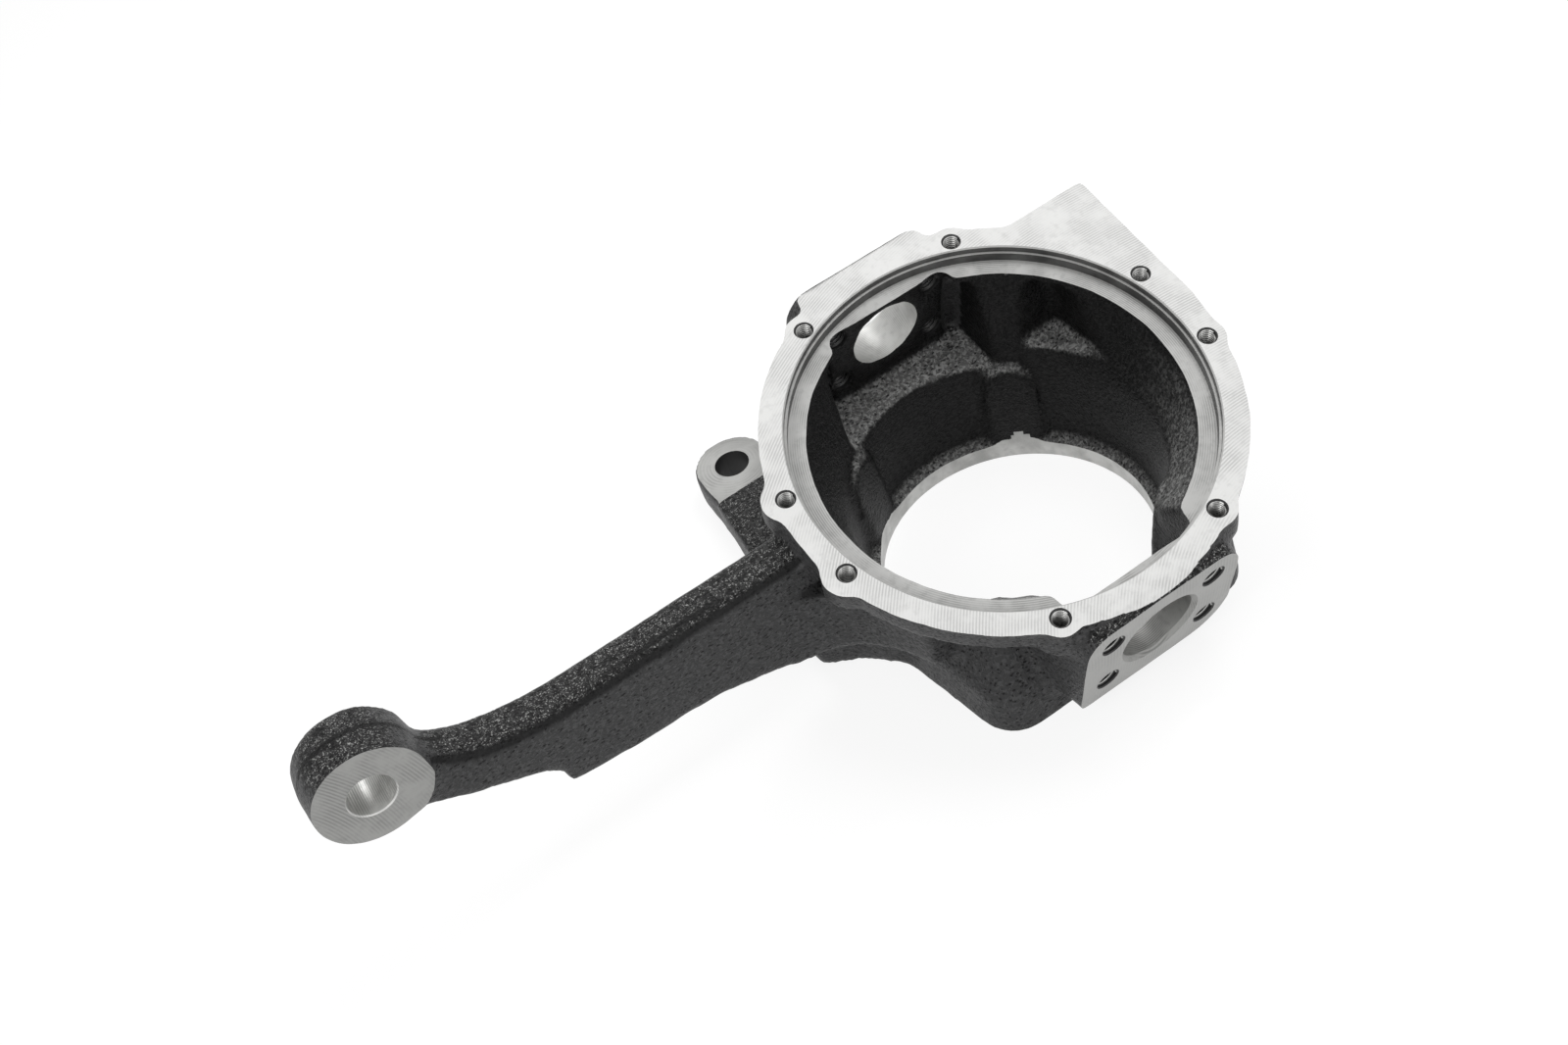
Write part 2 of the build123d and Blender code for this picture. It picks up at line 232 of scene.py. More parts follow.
def castBlank():
    bm = bmesh.new()
    bm.from_mesh(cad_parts["knuckle_casting"].data)
    bmesh.ops.scale(bm, vec=(1 / mm, 1 / mm, 1 / mm), verts=bm.verts)
    bmesh.ops.remove_doubles(bm, verts=bm.verts, dist=0.002)
    for place, depth, height in stock:
        addStock(bm, place, depth, height)
    fillHoles(bm)
    piece = addObject("casting", bm)
    remesh = piece.modifiers.new("blank", "REMESH")
    remesh.mode = "VOXEL"
    remesh.voxel_size = blank["voxel"] * mm
    soften = piece.modifiers.new("soften", "SMOOTH")
    soften.factor = 0.5
    soften.iterations = blank["rounding"]
    waves = bpy.data.textures.new("castWaves", "CLOUDS")
    waves.noise_scale = blank["waveSize"] * mm
    waves.noise_depth = 2
    displace = piece.modifiers.new("waves", "DISPLACE")
    displace.texture = waves
    displace.texture_coords = "LOCAL"
    displace.mid_level = 1.0  # the waves only go inwards, so the blank stays inside the CAD
    displace.strength = blank["waviness"] * mm
    applyModifiers(piece)
    print("cast blank", len(piece.data.polygons), "faces")
    return piece


# Machining
facing = [  # place, and the box cut away above it
    (ringPlace, (-90, -79.95, 0), (90, 79.95, 12)),
    (kingpinPlaces[0], (-45, -45, 0), (45, 45, 12)),
    (kingpinPlaces[1], (-45, -45, 0), (45, 45, 12)),
    (spindlePlace, (-70, -75, 0), (70, 75, 8)),
    (earPlace, (-24, -earPatch, 0), (24, 24, 8)),
    (eyePlace, (-24, -24, 0), (24, 24, 8)),
]


def machine(piece, bm, name):
    bmesh.ops.recalc_face_normals(bm, faces=bm.faces)
    cutter = addObject(name, bm)
    cut = piece.modifiers.new(name, "BOOLEAN")
    cut.operation = "DIFFERENCE"
    cut.solver = "MANIFOLD"
    cut.object = cutter
    applyModifiers(piece)
    bpy.data.objects.remove(cutter)
    print(name, len(piece.data.polygons), "faces")


def mouth(radius, chamfer, reach):
    # Top of a cutter's profile, which reaches above the face and leaves a chamfer
    return [(0, reach), (radius + chamfer + reach, reach), (radius, -chamfer)]


def plainCut(radius, reach, depth):
    return [(0, reach), (radius, reach), (radius, -depth), (0, -depth)]


def boreCasting(bm):
    step, ledge = -seat["stepDepth"], -seat["ledgeDepth"]
    seatCut = mouth(seat["outer"], seat["chamfer"], 5) + [
        (seat["outer"], step), (seat["step"], step), (seat["step"], ledge), (0, ledge)]
    addTurned(bm, ringPlace, seatCut, steps=180)
    addTurned(bm, spindlePlace, plainCut(bores["spindle"], 8, bores["spindleHeight"]), steps=160)
    radius, depth = bores["kingpin"], bores["kingpinDepth"]
    kingpinCut = mouth(radius, bores["kingpinChamfer"], 5) + [(radius, -depth), (0, -depth)]
    for place in kingpinPlaces:
        addTurned(bm, place, kingpinCut, steps=72)
    for place in caliperHoles:
        addTurned(bm, place, plainCut(bores["caliper"], 5, bores["caliperDepth"]), steps=48)
    end = -bores["eyeDepth"] - 2
    eyeCut = mouth(bores["eyeFront"], bores["smallChamfer"], 3) + [(bores["eyeBack"], end), (0, end)]
    addTurned(bm, eyePlace, eyeCut, steps=56)


def machineCasting(piece):
    bm = bmesh.new()
    for place, low, high in facing:
        addBox(bm, place, low, high)
    machine(piece, bm, "facing")
    bm = bmesh.new()
    boreCasting(bm)
    machine(piece, bm, "boring")
    bm = bmesh.new()
    for name, places in tappedHoles.items():
        radius, depth = threads[name]["radius"], threads[name]["depth"]
        profile = mouth(radius, bores["smallChamfer"], 2) + [(radius, -depth), (0, -depth - radius / 2)]
        for place in places:
            addTurned(bm, place, profile, steps=32)
    machine(piece, bm, "drilling")


# Threads
def addThread(bm, place, radius, pitch, length):
    # A tooth of one pitch wound down the hole
    steps = 24  # of one turn
    root = radius - 0.02
    crest = radius - 0.5 * pitch
    flank = 0.5 * (root + crest)
    tooth = [(root, 0), (flank, -0.2), (crest, -0.42), (crest, -0.58), (root, -1)]  # heights in pitches
    points = [bm.verts.new((r, 0, z * pitch - 0.1)) for r, z in tooth]
    edges = [bm.edges.new(pair) for pair in zip(points, points[1:])]
    turns = int(length / pitch)
    wound = bmesh.ops.spin(
        bm, geom=points + edges, cent=(0, 0, 0), axis=(0, 0, 1), dvec=(0, 0, -pitch / steps),
        angle=2 * pi * turns, steps=steps * turns)
    start = next(item for item in wound["geom_last"] if isinstance(item, bmesh.types.BMVert))
    made = list(linkedVerts(start))
    faces = list({face for vert in made for face in vert.link_faces})
    for face in faces:
        face.normal_update()
    outward = [f for f in faces if f.normal.xy.dot(f.calc_center_median().xy) > 0]
    if len(outward) > len(faces) / 2:
        bmesh.ops.reverse_faces(bm, faces=faces)
    for face in faces:
        middle = sum(vert.co.xy.length for vert in face.verts) / len(face.verts)
        face.material_index = 1 if middle < 0.6 * crest + 0.4 * root else 0  # painted highlight on the crests, painted shade in the roots
    bmesh.ops.transform(bm, matrix=place, verts=made)


def threadPiece(name, places):
    bm = bmesh.new()
    for place in places:
        addThread(bm, place, threads[name]["radius"], threads[name]["pitch"], threads[name]["shown"])
    piece = addObject(name + "Threads", bm)
    piece.data.shade_smooth()
    piece.data.set_sharp_from_angle(angle=radians(25))
    return piece


# Shader nodes
def makeGroup(name, inputs, outputs):
    group = bpy.data.node_groups.new(name, "ShaderNodeTree")
    for socket, kind, value in inputs:
        made = group.interface.new_socket(socket, in_out="INPUT", socket_type=kind)
        if value is not None:
            made.default_value = value
    for socket in outputs:
        group.interface.new_socket(socket, in_out="OUTPUT", socket_type="NodeSocketFloat")
    return group, group.nodes.new("NodeGroupInput"), group.nodes.new("NodeGroupOutput")


def addNode(tree, kind, values, links, **settings):
    node = tree.nodes.new(kind)
    for key, value in settings.items():
        setattr(node, key, value)
    for socket, value in values.items():
        node.inputs[socket].default_value = value
    for socket, source in links.items():
        tree.links.new(source, node.inputs[socket])
    return node


def mathNode(tree, operation, first, second=None, clamp=False):
    node = tree.nodes.new("ShaderNodeMath")
    node.operation = operation
    node.use_clamp = clamp
    for index, value in enumerate((first, second)):
        if value is None:
            continue
        if isinstance(value, (int, float)):
            node.inputs[index].default_value = value
        else:
            tree.links.new(value, node.inputs[index])
    return node.outputs[0]


def multiply(tree, first, second):
    return mathNode(tree, "MULTIPLY", first, second)


def subtract(tree, first, second):
    return mathNode(tree, "SUBTRACT", first, second)


def between(tree, value, low, high):
    # Rises smoothly from 0 at low to 1 at high, which may lie below it
    span = {"From Min": min(low, high), "From Max": max(low, high)}
    node = addNode(tree, "ShaderNodeMapRange", span, {"Value": value}, interpolation_type="SMOOTHSTEP")
    if low < high:
        return node.outputs["Result"]
    return subtract(tree, 1.0, node.outputs["Result"])


def blend(tree, factor, first, second):
    node = tree.nodes.new("ShaderNodeMix")
    node.data_type = "RGBA"
    tree.links.new(factor, node.inputs["Factor"])
    for name, value in (("A", first), ("B", second)):
        socket = next(s for s in node.inputs if s.name == name and s.type == "RGBA")
        if isinstance(value, tuple):
            socket.default_value = (*value, 1)
        else:
            tree.links.new(value, socket)
    return next(s for s in node.outputs if s.type == "RGBA")


def noise(tree, place, **values):
    # Each value is named as its socket is, and is a number or another node's output
    node = addNode(tree, "ShaderNodeTexNoise", {}, {"Vector": place})
    for socket, value in values.items():
        if isinstance(value, float):
            node.inputs[socket].default_value = value
        else:
            tree.links.new(value, node.inputs[socket])
    return node.outputs["Fac"]


# Sand-cast skin
sand = {  # values of a noise between which its mark fades in
    "crowd": (0.36, 0.6),
    # painted glints: bright specks of colour that stand in for sparkles of light on the grains
    "paintedGlint": (0.54, 0.7),
    "deepest": (0.6, 0.5),
    "pit": (0.36, 0.2),
    "grain": (0.6, 0.86),
    # painted highlight along the edges
    "paintedEdgeHighlight": (0.52, 0.6),
}
pitStretch = (0.55, 1, 1)  # pits lie along the arm


def sandGroup():
    # Grains of the mould pressed into the skin, with pits between them and painted glints on their tops
    group, inward, outward = makeGroup(
        "sandSkin",
        [("Place", "NodeSocketVector", None), ("Grains", "NodeSocketFloat", 900.0)],
        ("Height", "PaintedGlints", "Pits", "Clouds"))
    place, grains = inward.outputs["Place"], inward.outputs["Grains"]
    fine = noise(group, place, Detail=2.0, Roughness=0.6, Scale=grains)
    leather = noise(group, place, Detail=2.0, Distortion=0.6, Scale=multiply(group, grains, 0.45))
    height = mathNode(group, "ADD", multiply(group, fine, 0.45), leather)
    spots = noise(group, place, Detail=1.0, Scale=multiply(group, grains, 1.3))
    crowd = between(group, leather, *sand["crowd"])
    # painted glints on the grain tops
    paintedGlints = multiply(group, between(group, spots, *sand["paintedGlint"]), crowd)
    drawn = addNode(group, "ShaderNodeVectorMath", {1: pitStretch}, {0: place}, operation="MULTIPLY")
    cells = addNode(
        group, "ShaderNodeTexVoronoi", {"Randomness": 1.0},
        {"Vector": drawn.outputs["Vector"], "Scale": multiply(group, grains, 0.5)})
    deepest = between(group, leather, *sand["deepest"])
    pits = multiply(group, between(group, cells.outputs["Distance"], *sand["pit"]), deepest)
    clouds = noise(group, place, Scale=55.0, Detail=3.0)
    low = subtract(group, height, multiply(group, pits, 0.5))
    for name, source in (("Height", low), ("PaintedGlints", paintedGlints), ("Pits", pits), ("Clouds", clouds)):
        group.links.new(source, outward.inputs[name])
    return group


def toolGroup():
    # Fine arcs that a turning tool leaves round a centre, broken up by noise
    group, inward, outward = makeGroup(
        "toolMarks",
        [("Place", "NodeSocketVector", None), ("Lines", "NodeSocketFloat", 300.0)],
        ("Height", "Shade"))
    place, lines = inward.outputs["Place"], inward.outputs["Lines"]
    rings = addNode(
        group, "ShaderNodeTexWave", {"Distortion": 0.6, "Detail": 2.0, "Detail Scale": 6.0},
        {"Vector": place, "Scale": lines}, wave_type="RINGS", rings_direction="Z")
    wear = noise(group, place, Scale=90.0, Detail=4.0)
    shade = multiply(group, rings.outputs["Fac"], between(group, wear, 0.35, 0.65))
    group.links.new(rings.outputs["Fac"], outward.inputs["Height"])
    group.links.new(shade, outward.inputs["Shade"])
    return group


sandSkin = sandGroup()
toolMarks = toolGroup()


def startMaterial(name, metallic):
    material = bpy.data.materials.new(name)
    material.use_nodes = True
    tree = material.node_tree
    shader = tree.nodes["Principled BSDF"]
    shader.inputs["Metallic"].default_value = metallic
    place = tree.nodes.new("ShaderNodeTexCoord").outputs["Object"]
    return material, tree, shader, place


def addBump(tree, shader, height, distance, strength):
    bump = addNode(tree, "ShaderNodeBump", {"Distance": distance * mm}, {"Height": height})
    if isinstance(strength, float):
        bump.inputs["Strength"].default_value = strength
    else:
        tree.links.new(strength, bump.inputs["Strength"])
    tree.links.new(bump.outputs["Normal"], shader.inputs["Normal"])


castPaint = {
    "outside": {
        "deep": (0.003, 0.003, 0.003),  # between the grains
        "plain": (0.080, 0.080, 0.081),
        "top": (0.028, 0.028, 0.028),  # colour of faces that point upwards
        # painted glints on the grain tops
        "paintedGlint": (0.40, 0.40, 0.39),
        # painted highlight on the edges
        "edge": (0.13, 0.13, 0.127),
        "edgeShare": 0.4,
        "paintedGlintsBelow": 0.0,  # share of painted glints on the other sides
        "grains": 1600.0,
        "evenness": 0.62,  # how far the paint fills between the grains
        "evenTop": 0.0,
        "topFrom": 0.55,  # the normal's z where the top's skin begins
        "gloss": 0.14,
        "bump": 0.8,
    },
    # Inside the bowl: painted shade makes the walls darker, and painted light makes the upward faces, glints
    # and edges paler
    "inside": {
        "deep": (0.001, 0.001, 0.001),
        "plain": (0.011, 0.011, 0.011),
        # painted light on the bowl's upward faces, such as the shelf
        "top": (0.28, 0.28, 0.275),
        "paintedGlint": (0.24, 0.24, 0.235),
        "edge": (0.17, 0.17, 0.167),
        "edgeShare": 0.8,
        "paintedGlintsBelow": 0.03,
        "grains": 1700.0,
        "evenness": 0.2,
        "evenTop": 0.4,
        "topFrom": 0.25,
        "gloss": 0.16,
        "bump": 1.0,
    },
}
topFull = 0.85  # the normal's z where the top's skin is complete
parting = {
    "plane": 5.0,  # the mould's halves met at this y
    "width": 1.3,
    "wander": 1.6,
    "eyeReach": (15.0, 24.0),  # the seam's distances from the eye's axis
    "streakPlane": -0.4,
    "streakWidth": 1.5,
    "streakFrom": -158.0,
    "streakTo": -92.0,
    "streakFade": 20.0,
    "armFrom": -55.0,  # the painted shade on the front round begins at this x
    "armFull": -75.0,
    "frontShade": 0.85,
}


def nearPlane(tree, value, plane, width):
    # 1 on the plane and 0 at the width from it, all in mm
    away = mathNode(tree, "ABSOLUTE", subtract(tree, value, plane * mm))
    return between(tree, away, width * mm, 0.35 * width * mm)


# Painted shade in the crease of the mould's seam round the eye
def eyeSeamShade(tree, axes, depth):
    eyeX, _, eyeZ = (c * mm for c in axle["eyeFace"])
    across = subtract(tree, axes.outputs["X"], eyeX)
    up = subtract(tree, axes.outputs["Z"], eyeZ)
    squared = mathNode(tree, "ADD", multiply(tree, across, across), multiply(tree, up, up))
    reach = mathNode(tree, "SQRT", squared)
    low, high = (c * mm for c in parting["eyeReach"])
    onEye = multiply(tree, between(tree, reach, low, low + mm), between(tree, reach, high + 3 * mm, high))
    return multiply(tree, nearPlane(tree, depth, parting["plane"], parting["width"]), onEye)


# Painted shade in the parting groove along the arm's top
def armGrooveShade(tree, axes, depth, normal):
    start, end, fade = (parting[key] * mm for key in ("streakFrom", "streakTo", "streakFade"))
    along = multiply(
        tree, between(tree, axes.outputs["X"], start, start + fade),
        between(tree, axes.outputs["X"], end, end - fade))
    streak = multiply(tree, nearPlane(tree, depth, parting["streakPlane"], parting["streakWidth"]), along)
    return multiply(tree, streak, between(tree, normal.outputs["Z"], 0.5, 0.8))


def armFrontShade(tree, axes, normal):
    # The round between the arm's top and front, found by its normals, painted dark as shade
    leavesFront = between(tree, normal.outputs["Z"], 0.12, 0.4)
    belowTop = between(tree, normal.outputs["Z"], 0.88, 0.66)
    forward = between(tree, normal.outputs["Y"], -0.3, -0.55)
    onArm = between(tree, axes.outputs["X"], parting["armFrom"] * mm, parting["armFull"] * mm)
    shade = multiply(tree, onArm, parting["frontShade"])
    return multiply(tree, multiply(tree, multiply(tree, leavesFront, belowTop), forward), shade)


def paintedShadeMarks(tree, place, normal):
    # Painted shade in the seam's crease round the eye, in the parting groove along the arm's top, and on the
    # arm's front round
    wander = noise(tree, place, Scale=70.0, Detail=2.0)
    shift = multiply(tree, subtract(tree, wander, 0.5), 2 * parting["wander"] * mm)
    axes = addNode(tree, "ShaderNodeSeparateXYZ", {}, {"Vector": place})
    depth = mathNode(tree, "ADD", axes.outputs["Y"], shift)
    marks = mathNode(tree, "MAXIMUM", eyeSeamShade(tree, axes, depth), armGrooveShade(tree, axes, depth, normal))
    return mathNode(tree, "MAXIMUM", marks, armFrontShade(tree, axes, normal))


def castMaterial(name):
    # Satin black paint over the sand-cast skin, rougher on the sides that lay upwards in the mould, with
    # painted glints on the grains and a painted highlight on edges
    paint = castPaint[name]
    material, tree, shader, place = startMaterial(name + "Skin", 0.0)
    skin = addNode(
        tree, "ShaderNodeGroup", {"Grains": paint["grains"]}, {"Place": place}, node_tree=sandSkin)
    normals = tree.nodes["Texture Coordinate"].outputs["Normal"]
    normal = addNode(tree, "ShaderNodeSeparateXYZ", {}, {"Vector": normals})
    # faces that point upwards: rougher skin there, and also painted light and painted glints
    coarseSkinAndLitTop = between(tree, normal.outputs["Z"], paint["topFrom"], topFull)
    share = mathNode(tree, "ADD", multiply(tree, coarseSkinAndLitTop, 0.9), paint["paintedGlintsBelow"])
    # painted light: upward faces take the top colour, much paler inside the bowl
    ground = blend(tree, coarseSkinAndLitTop, paint["plain"], paint["top"])
    grain = between(tree, skin.outputs["Height"], *sand["grain"])
    even = multiply(tree, coarseSkinAndLitTop, paint["evenTop"] - paint["evenness"])
    even = mathNode(tree, "ADD", even, paint["evenness"])
    base = blend(tree, mathNode(tree, "MAXIMUM", grain, even), paint["deep"], ground)
    base = blend(tree, multiply(tree, skin.outputs["Pits"], 0.8), base, paint["deep"])
    # painted glints, mostly on the upward faces
    base = blend(tree, multiply(tree, skin.outputs["PaintedGlints"], share), base, paint["paintedGlint"])
    pointed = tree.nodes.new("ShaderNodeNewGeometry").outputs["Pointiness"]
    # painted highlight on the edges, over the grain tops
    paintedEdgeHighlight = multiply(tree, between(tree, pointed, *sand["paintedEdgeHighlight"]), paint["edgeShare"])
    base = blend(tree, multiply(tree, paintedEdgeHighlight, grain), base, paint["edge"])
    if name == "outside":
        # painted shade in the seams and on the arm's front round
        base = blend(tree, paintedShadeMarks(tree, place, normal), base, paint["deep"])
    tree.links.new(base, shader.inputs["Base Color"])
    rough = addNode(
        tree, "ShaderNodeMapRange", {"To Min": 0.3, "To Max": 0.5}, {"Value": skin.outputs["Clouds"]})
    tree.links.new(rough.outputs["Result"], shader.inputs["Roughness"])
    shader.inputs["Specular IOR Level"].default_value = paint["gloss"]
    strength = mathNode(tree, "ADD", multiply(tree, coarseSkinAndLitTop, 0.4), paint["bump"], clamp=True)
    addBump(tree, shader, skin.outputs["Height"], 0.6, strength)
    return material


# Machined surfaces
def machinedMaterial(name, colour, lines, centre, roughness, metallic, contrast, turn=(0, 0, 0)):
    # Bare iron, whose tool marks are arcs round a centre in the plane that turn gives
    material, tree, shader, place = startMaterial(name, metallic)
    shift = addNode(
        tree, "ShaderNodeMapping", {"Location": centre, "Rotation": turn}, {"Vector": place},
        vector_type="TEXTURE")
    marks = addNode(
        tree, "ShaderNodeGroup", {"Lines": lines}, {"Place": shift.outputs["Vector"]}, node_tree=toolMarks)
    mottle = between(tree, noise(tree, place, Scale=420.0, Detail=3.0), 0.5, 0.75)
    dark = tuple(channel * (1 - contrast) for channel in colour)
    light = tuple(min(1, channel * (1 + contrast / 2)) for channel in colour)
    base = blend(tree, marks.outputs["Shade"], light, dark)
    base = blend(tree, multiply(tree, mottle, 0.35), base, dark)
    tree.links.new(base, shader.inputs["Base Color"])
    shader.inputs["Roughness"].default_value = roughness
    addBump(tree, shader, marks.outputs["Height"], 0.02, 0.6)
    return material


def fromMm(x, y, z):
    return (x * mm, y * mm, z * mm)


partOrigin = (0, 0, 0)
ringCentre = tuple(ringPlace.translation * mm)
onRing = (tilt, 0, 0)
onKingpinFace = (pi / 2 + tilt, 0, 0)
onEyeFace = (pi / 2, 0, 0)
finishes = {
    "outside": castMaterial("outside"),
    "inside": castMaterial("inside"),
    "ring": machinedMaterial(
        "milledRing", (0.66, 0.66, 0.65), 330.0, fromMm(60, -140, 20), 0.6, 0.0, 0.24, onRing),
    "seat": machinedMaterial("turnedSeat", (0.43, 0.43, 0.42), 420.0, ringCentre, 0.6, 0.0, 0.40, onRing),
    # painted shade: the seat's walls, the same turned iron as its floors, coloured dark
    "shadedSeatWall": machinedMaterial("shadedSeatWall", (0.10, 0.10, 0.098), 420.0, ringCentre, 0.4, 0.4, 0.5, onRing),
    "ground": machinedMaterial(
        "groundFlange", (0.38, 0.38, 0.37), 260.0, fromMm(-190, 0, 40), 0.48, 0.35, 0.12, onKingpinFace),
    "eye": machinedMaterial(
        "facedEye", (0.33, 0.33, 0.32), 300.0, fromMm(-300, 0, 60), 0.5, 0.35, 0.25, onEyeFace),
    "spot": machinedMaterial("spotFace", (0.27, 0.27, 0.262), 240.0, fromMm(-58.1, 99.8, 0), 0.5, 0.35, 0.2),
    # the near kingpin bore, coloured darker than the other bores
    "lowerBore": machinedMaterial("lowerKingpinBoreWall", (0.28, 0.28, 0.27), 500.0, partOrigin, 0.45, 0.4, 0.4),
    "bore": machinedMaterial("boredWall", (0.55, 0.55, 0.535), 500.0, partOrigin, 0.36, 0.45, 0.35),
    # painted shade: the walls of the drilled and tapped holes, and the thread roots, coloured near black
    "hole": machinedMaterial("shadedHoleWall", (0.02, 0.02, 0.02), 300.0, partOrigin, 0.5, 0.2, 0.3),
    # painted highlight on the thread crests
    "crest": machinedMaterial("threadCrest", (0.42, 0.42, 0.41), 300.0, partOrigin, 0.35, 0.6, 0.2),
}
order = list(finishes)
bowl = {
    "mouth": Vector((0, 0, 90)),  # faces inside the bowl look towards this point
    "radius": 68.5,
    "top": -6,  # from the ring face
}
wallDepth = 18.0  # bores are labelled down to here


def onPlane(place, point, normal, depth=0.0):
    local = place.inverted() @ point
    return abs(local.z + depth) < 0.01 and normal.dot(place.col[2].xyz) > 0.999


def onWall(place, point, normal, radius, depth, chamfer=0.5):
    # On the wall of a hole, or on the chamfer of its mouth
    local = place.inverted() @ point
    slope = abs(normal.dot(place.col[2].xyz))
    wall = slope < 0.25 and abs(local.xy.length - radius) < 0.12 and -depth < local.z < 0.1
    rim = 0.5 < slope < 0.9 and local.xy.length < radius + chamfer + 0.1 and -chamfer - 0.1 < local.z < 0.1
    return wall or rim


def faceFinish(point, normal):
    # Finish of a flat machined face, or None
    if onPlane(ringPlace, point, normal):
        return "ring"
    if any(onPlane(ringPlace, point, normal, seat[depth]) for depth in ("ledgeDepth", "stepDepth")):
        return "seat"
    if any(onPlane(place, point, normal) for place in (*kingpinPlaces, spindlePlace)):
        return "ground"
    if onPlane(eyePlace, point, normal) and point.x < -200:
        return "eye"
    if onPlane(earPlace, point, normal) and point.y > axle["earFace"][1] - earPatch - 0.1:
        return "spot"
    return None


def boreFinish(point, normal):
    # Finish of a bored or drilled wall, or None
    for place, finish in zip(kingpinPlaces, ("bore", "lowerBore")):
        if onWall(place, point, normal, bores["kingpin"], wallDepth, bores["kingpinChamfer"]):
            return finish
    onSpindle = abs(point.xy.length - bores["spindle"]) < 0.05 and point.z < bores["spindleHeight"]
    if abs(normal.z) < 0.2 and onSpindle:
        return "bore"
    eye = eyePlace.inverted() @ point
    inEye = -bores["eyeDepth"] - 0.1 < eye.z < 0 and eye.xy.length < bores["eyeFront"] + 0.5
    if inEye and normal.y > -0.9:
        return "bore" if abs(normal.y) < 0.9 else "outside"
    if any(onWall(place, point, normal, bores["caliper"], wallDepth) for place in caliperHoles):
        return "hole"
    for name, places in tappedHoles.items():
        radius, depth = threads[name]["radius"], threads[name]["depth"]
        if any(onWall(place, point, normal, radius, depth) for place in places):
            return "hole"
    return None


def finishOf(point, normal):
    # Which machined surface a face belongs to, or the cast skin
    face = faceFinish(point, normal)
    local = ringPlace.inverted() @ point
    inSeat = seat["step"] - 0.1 < local.xy.length < seat["outer"] + seat["chamfer"] + 0.1
    if face in ("ring", "seat"):
        return face
    if -seat["ledgeDepth"] < local.z < 0 and inSeat:
        # the seat's walls take the painted shade
        return "seat" if abs(normal.dot(ringAxis)) > 0.4 else "shadedSeatWall"
    machined = face or boreFinish(point, normal)
    if machined:
        return machined
    # faces inside the bowl take the inside paint, with its painted shade and painted light
    inBowl = local.z < bowl["top"] and local.xy.length < bowl["radius"]
    return "inside" if inBowl and (bowl["mouth"] - point).dot(normal) > 0 else "outside"


def finishCasting(piece):
    mesh = piece.data
    mesh.materials.clear()
    for name in order:
        mesh.materials.append(finishes[name])
    counts = dict.fromkeys(order, 0)
    for face in mesh.polygons:
        name = finishOf(face.center / mm, face.normal)
        face.material_index = order.index(name)
        counts[name] += 1
    mesh.shade_smooth()
    mesh.set_sharp_from_angle(angle=radians(38))
    print("finishes", counts)


casting = castBlank()
machineCasting(casting)
finishCasting(casting)
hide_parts("knuckle_casting")
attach(casting, "root")
for name, places in tappedHoles.items():
    piece = threadPiece(name, places)
    for finish in ("hole", "crest"):
        piece.data.materials.append(finishes[finish])
    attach(piece, "root")
print("threads cut")

# Camera at the photograph's place
view = {
    "location": (-0.181940, -0.331990, 0.431092),
    "right": (0.82314, -0.51400, -0.24136),
    "up": (0.52755, 0.53495, 0.65995),
    "back": (-0.21010, -0.67055, 0.71149),
    "lens": 36.92,
}


def addCamera():
    camera = bpy.data.objects.new("camera", bpy.data.cameras.new("camera"))
    camera.data.lens = view["lens"]
    camera.data.sensor_width = 36
    camera.data.clip_start = 0.01
    turn = Matrix((view["right"], view["up"], view["back"])).transposed().to_4x4()
    camera.matrix_world = Matrix.Translation(view["location"]) @ turn
    bpy.context.scene.collection.objects.link(camera)
    bpy.context.scene.camera = camera


# Table and lights
studio = {
    "floorHalf": 2.5,
    "floorTone": (0.8, 0.8, 0.8, 1),  # as the object's light meets it
    "glow": 0.86,  # as the camera sees it, with the shadow tone on top
    "shadowTone": (0.18, 0.18, 0.18, 1),
    "white": (1, 1, 1, 1),
    "worldLevel": 0.30,
    "lamps": [  # name, place, size, power
        ("key", (0.34, 0.02, 0.98), 0.45, 4.4),
        ("back", (0.05, 0.80, 0.80), 0.30, 3.0),
        ("left", (-0.85, -0.30, 0.75), 0.40, 3.2),
        ("front", (0.25, -0.95, 0.35), 0.5, 1.6),
    ],
    "aim": (-0.05, 0, 0.05),
}


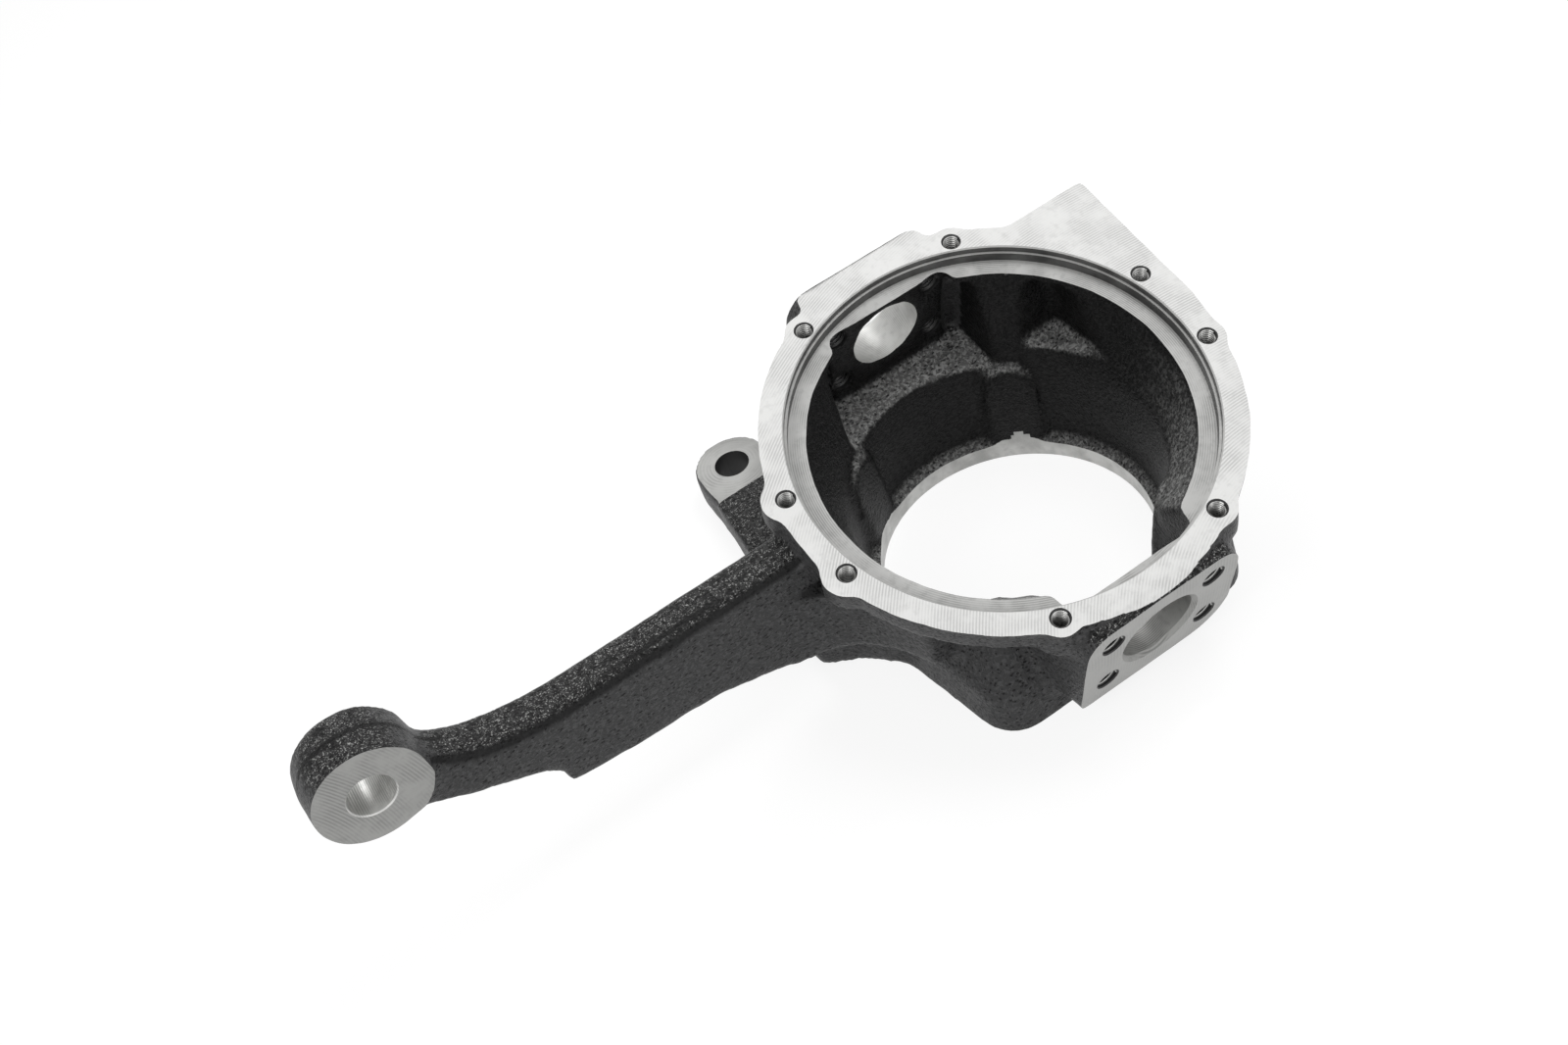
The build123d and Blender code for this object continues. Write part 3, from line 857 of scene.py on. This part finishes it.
def whiteToCamera(tree, plain, white, surface):
    # What the camera and gloss see is plain white, and the light on the object stays as it is
    rays = tree.nodes.new("ShaderNodeLightPath")
    seen = mathNode(tree, "MAXIMUM", rays.outputs["Is Camera Ray"], rays.outputs["Is Glossy Ray"])
    seen = mathNode(tree, "MAXIMUM", seen, rays.outputs["Is Transmission Ray"])
    mix = addNode(tree, "ShaderNodeMixShader", {}, {0: seen, 1: plain, 2: white})
    tree.links.new(mix.outputs[0], surface)


def addFloor():
    bm = bmesh.new()
    bmesh.ops.create_grid(bm, x_segments=1, y_segments=1, size=studio["floorHalf"] / mm)
    bmesh.ops.translate(bm, vec=(0, 0, -0.05), verts=bm.verts)
    floor = addObject("table", bm)
    material = bpy.data.materials.new("whiteTable")
    material.use_nodes = True
    tree = material.node_tree
    tree.nodes.remove(tree.nodes["Principled BSDF"])
    plain = addNode(tree, "ShaderNodeBsdfDiffuse", {"Color": studio["floorTone"]}, {})
    glow = addNode(tree, "ShaderNodeEmission", {"Color": studio["white"], "Strength": studio["glow"]}, {})
    soft = addNode(tree, "ShaderNodeBsdfDiffuse", {"Color": studio["shadowTone"]}, {})
    both = addNode(tree, "ShaderNodeAddShader", {}, {0: glow.outputs[0], 1: soft.outputs[0]})
    surface = tree.nodes["Material Output"].inputs["Surface"]
    whiteToCamera(tree, plain.outputs[0], both.outputs[0], surface)
    floor.data.materials.append(material)


def addWorld():
    world = bpy.data.worlds.new("studio")
    bpy.context.scene.world = world
    world.use_nodes = True
    tree = world.node_tree
    plain = tree.nodes["Background"]
    plain.inputs["Color"].default_value = studio["white"]
    plain.inputs["Strength"].default_value = studio["worldLevel"]
    white = addNode(tree, "ShaderNodeBackground", {"Color": studio["white"], "Strength": 1.0}, {})
    surface = tree.nodes["World Output"].inputs["Surface"]
    whiteToCamera(tree, plain.outputs[0], white.outputs[0], surface)


def addLamps():
    for name, place, size, power in studio["lamps"]:
        lamp = bpy.data.objects.new(name, bpy.data.lights.new(name, "AREA"))
        lamp.data.energy = power
        lamp.data.shape = "SQUARE"
        lamp.data.size = size
        away = (Vector(place) - Vector(studio["aim"])).normalized()
        turn = away.to_track_quat("Z", "Y").to_matrix().to_4x4()
        lamp.matrix_world = Matrix.Translation(place) @ turn
        bpy.context.scene.collection.objects.link(lamp)


addCamera()
addFloor()
addWorld()
addLamps()
bpy.context.scene.view_settings.view_transform = "Standard"
print("stage set")
